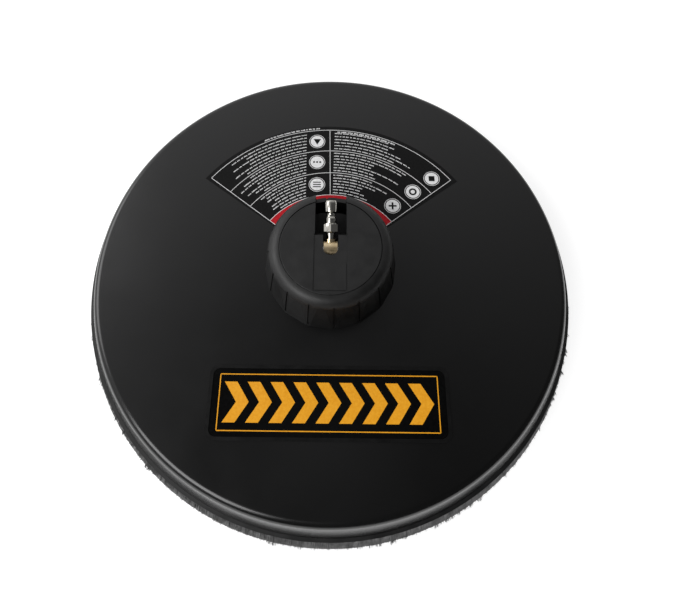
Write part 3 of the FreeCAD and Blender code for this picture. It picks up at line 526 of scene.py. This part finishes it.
def print_rows(ink, left, middle, right, top, low, count):
    """Rows of marks in the two boxes between the radii top and low. Left, middle and right are degrees."""
    letter, first_drop, margin = 1.3, 1.4, 2
    disc_room = 25.0
    pitch = (top - low) / count
    for i in range(count):
        radius = top - first_drop - i * pitch
        gap = math.degrees(disc_room / radius)
        left_share = random.uniform(0.72, 1.0)
        right_share = random.uniform(0.5, 1.0)
        left_end = middle + gap + (left - middle - gap - margin) * left_share
        right_end = middle - margin - (middle - right - gap - margin) * right_share
        ink.words(radius, middle + gap, left_end, letter)
        ink.words(radius, middle - margin, right_end, letter)


def print_discs(white, black, middle, right):
    """Two rows of three discs, beside the middle line and beside the right edge."""
    disc, rim, inset = 8.4, 0.5, 1.4
    from_middle, from_right = 13.6, 13.2
    for i, radius in enumerate((141.7, 116.2, 89.6)):
        angles = (middle + math.degrees(from_middle / radius), right + math.degrees(from_right / radius))
        for side, angle in enumerate(angles):
            x, y = polar(radius, angle)
            white.disc(x, y, disc - inset)
            white.ring(x, y, disc - rim, disc)
            draw_sign(black, x, y, i + 3 * side)


def make_label_print():
    """The fan's white outlines, rows of marks, plain discs and red band."""
    left, right, middle = 142.6, 37.8, 90.8
    frame_outer, frame_inner, foot = 155.5, 76.5, 68.9
    rows = (129.2, 102.5)
    fine = 0.28
    row_gap = 2.0
    red = Ink(LABEL_TOP + 0.03)
    white = Ink(LABEL_TOP + 0.05)
    black = Ink(LABEL_TOP + 0.07)
    red.band(foot, frame_inner, right, left)
    for radius in (frame_outer, *rows, frame_inner, foot):
        white.band(radius - fine, radius + fine, right, left)
    for angle, low in ((left, foot), (right, foot), (middle, frame_inner)):
        white.line(polar(low, angle), polar(frame_outer, angle), 2 * fine)
    print_rows(white, left, middle, right, frame_outer - 3.4, rows[0], 6)
    print_rows(white, left, middle, right, rows[0] - row_gap, rows[1], 7)
    print_rows(white, left, middle, right, rows[1] - row_gap, frame_inner, 7)
    white.words(frame_outer + 1.6, middle + 4, middle + 27, 1.6)
    white.words(frame_outer - 3.2, middle - 3, middle - 28, 2.0)
    print_discs(white, black, middle, right)
    white.finish("label_white", "ink_white")
    red.finish("label_red", "ink_red")
    black.finish("label_signs", "ink_black")


def draw_sign(ink, x, y, kind):
    """A plain mark for a disc: a triangle, a dot row, bars, a square, a ring or a cross."""
    if kind == 0:
        ink.polygon([(x - 4, y + 3), (x + 4, y + 3), (x, y - 4)])
    elif kind == 1:
        for step in (-3.2, 0, 3.2):
            ink.disc(x + step, y, 1.1, 16)
    elif kind == 2:
        for step in (-2.6, 0, 2.6):
            ink.line((x - 4, y + step), (x + 4, y + step), 1.1)
    elif kind == 3:
        ink.polygon([(x - 3, y - 3), (x + 3, y - 3), (x + 3, y + 3), (x - 3, y + 3)])
    elif kind == 4:
        ink.ring(x, y, 2.2, 4.0)
    else:
        ink.line((x - 4, y), (x + 4, y), 1.8)
        ink.line((x, y - 4), (x, y + 4), 1.8)


def make_badge_print():
    """A row of plain amber chevrons inside a thin amber outline."""
    ink = Ink(BADGE_TOP + 0.05)
    y = BADGE_CENTRE
    chevrons, first, pitch = 9, -91.0, 20.0
    tall, slant, thick = 17.0, 11.0, 11.0
    for i in range(chevrons):
        x = first + pitch * i
        ink.polygon([(x, y + tall), (x + thick, y + tall), (x + thick + slant, y), (x + slant, y)])
        ink.polygon([(x + slant, y), (x + thick + slant, y), (x + thick, y - tall), (x, y - tall)])
    reach, height, width = 95.0, 23.5, 0.9
    for way in (-1, 1):
        ink.line((-reach, y + way * height), (reach, y + way * height), width)
        ink.line((way * reach, y - height), (way * reach, y + height), width)
    ink.finish("badge_amber", "ink_amber")


# ---------------------------------------------------------------- stage


FLOOR_GLOW = 0.75

# The studio's brightness by the height looked at: 0 is level and below, 1 is straight up.
STUDIO_LEVEL = 0.25
STUDIO_BETWEEN = ((0.3, 0.7), (0.6, 0.8), (0.86, 0.62), (0.94, 0.42), (0.975, 0.14))
STUDIO_OVERHEAD = 0.55


def make_floor():
    """A pale, very slightly uneven floor."""
    mesh = bpy.data.meshes.new("floor")
    reach = 6.0
    corners = [(-reach, -reach, 0), (reach, -reach, 0), (reach, reach, 0), (-reach, reach, 0)]
    mesh.from_pydata(corners, [], [(0, 1, 2, 3)])
    look = Look("floor_white", 0.6)
    look.color(look.noise(2.5, 3), 0.5, 0.54)
    look.shader.inputs["Specular IOR Level"].default_value = 0.2
    look.shader.inputs["Emission Color"].default_value = (1, 1, 1, 1)
    look.shader.inputs["Emission Strength"].default_value = FLOOR_GLOW
    mesh.materials.append(look.material)
    floor = bpy.data.objects.new("floor", mesh)
    bpy.context.scene.collection.objects.link(floor)


def add_softbox(name, place, watts):
    """A large rectangular lamp that faces the object."""
    target = (0, 0, 0.05)
    light = bpy.data.lights.new(name, "AREA")
    light.shape = "RECTANGLE"
    light.size = 1.4
    light.size_y = 1.0
    light.energy = watts
    lamp = bpy.data.objects.new(name, light)
    lamp.location = place
    lamp.rotation_euler = (Vector(target) - Vector(place)).to_track_quat("-Z", "Y").to_euler()
    bpy.context.scene.collection.objects.link(lamp)


def make_world():
    """A studio dark at the horizon and in a ring round the top, and brightest between, behind and left."""
    world = bpy.data.worlds.new("studio")
    bpy.context.scene.world = world
    world.use_nodes = True
    tree = world.node_tree
    coords = tree.nodes.new("ShaderNodeTexCoord")
    split = tree.nodes.new("ShaderNodeSeparateXYZ")
    height = tree.nodes.new("ShaderNodeValToRGB")
    cool = 1.01
    stops = height.color_ramp.elements
    stops[0].color = (STUDIO_LEVEL, STUDIO_LEVEL, STUDIO_LEVEL, 1)
    stops[1].color = (STUDIO_OVERHEAD, STUDIO_OVERHEAD, STUDIO_OVERHEAD * cool, 1)
    for place, value in STUDIO_BETWEEN:
        stops.new(place).color = (value, value, value * cool, 1)
    side = tree.nodes.new("ShaderNodeVectorMath")
    side.operation = "DOT_PRODUCT"
    side.inputs[1].default_value = (-0.7, 0.7, 0)
    share = tree.nodes.new("ShaderNodeMapRange")
    share.inputs["From Min"].default_value = -0.46
    share.inputs["From Max"].default_value = 0.9
    share.inputs["To Min"].default_value = 0.12
    share.inputs["To Max"].default_value = 1.4
    mix = tree.nodes.new("ShaderNodeVectorMath")
    mix.operation = "MULTIPLY"
    tree.links.new(coords.outputs["Generated"], split.inputs["Vector"])
    tree.links.new(coords.outputs["Generated"], side.inputs[0])
    tree.links.new(split.outputs["Z"], height.inputs["Fac"])
    tree.links.new(side.outputs["Value"], share.inputs["Value"])
    tree.links.new(height.outputs["Color"], mix.inputs[0])
    tree.links.new(share.outputs["Result"], mix.inputs[1])
    back = tree.nodes["Background"]
    tree.links.new(mix.outputs["Vector"], back.inputs["Color"])
    back.inputs["Strength"].default_value = 1.0


def make_camera():
    """A short lens close above the near side, looking steeply down."""
    distance = 0.456
    elevation = math.radians(69.4)
    roll = math.radians(0.7)
    aim = Vector((0, 0, 0.040))
    place = aim + distance * Vector((0, -math.cos(elevation), math.sin(elevation)))
    camera = bpy.data.cameras.new("camera")
    camera.lens = 24.2
    camera.sensor_width = 36.0
    camera.shift_x = 0.0247
    camera.shift_y = -0.0459
    camera.clip_start = 0.01
    thing = bpy.data.objects.new("camera", camera)
    look = (aim - place).to_track_quat("-Z", "Y").to_matrix().to_4x4()
    thing.matrix_world = Matrix.Translation(place) @ look @ Matrix.Rotation(roll, 4, "Z")
    bpy.context.scene.collection.objects.link(thing)
    bpy.context.scene.camera = thing


def build():
    dress_nodes()
    make_deck()
    make_holder()
    make_bristle_core()
    make_bristles("bristles_back", 0, 180)
    make_bristles("bristles_front", 180, 360)
    make_plug()
    make_label_print()
    make_badge_print()
    make_floor()
    make_world()
    make_camera()
    add_softbox("softbox_left", (-1.7, 0.6, 1.2), watts=13)
    add_softbox("softbox_front", (-1.2, -1.2, 1.6), watts=26)
    bpy.context.scene.view_settings.view_transform = "Standard"


build()
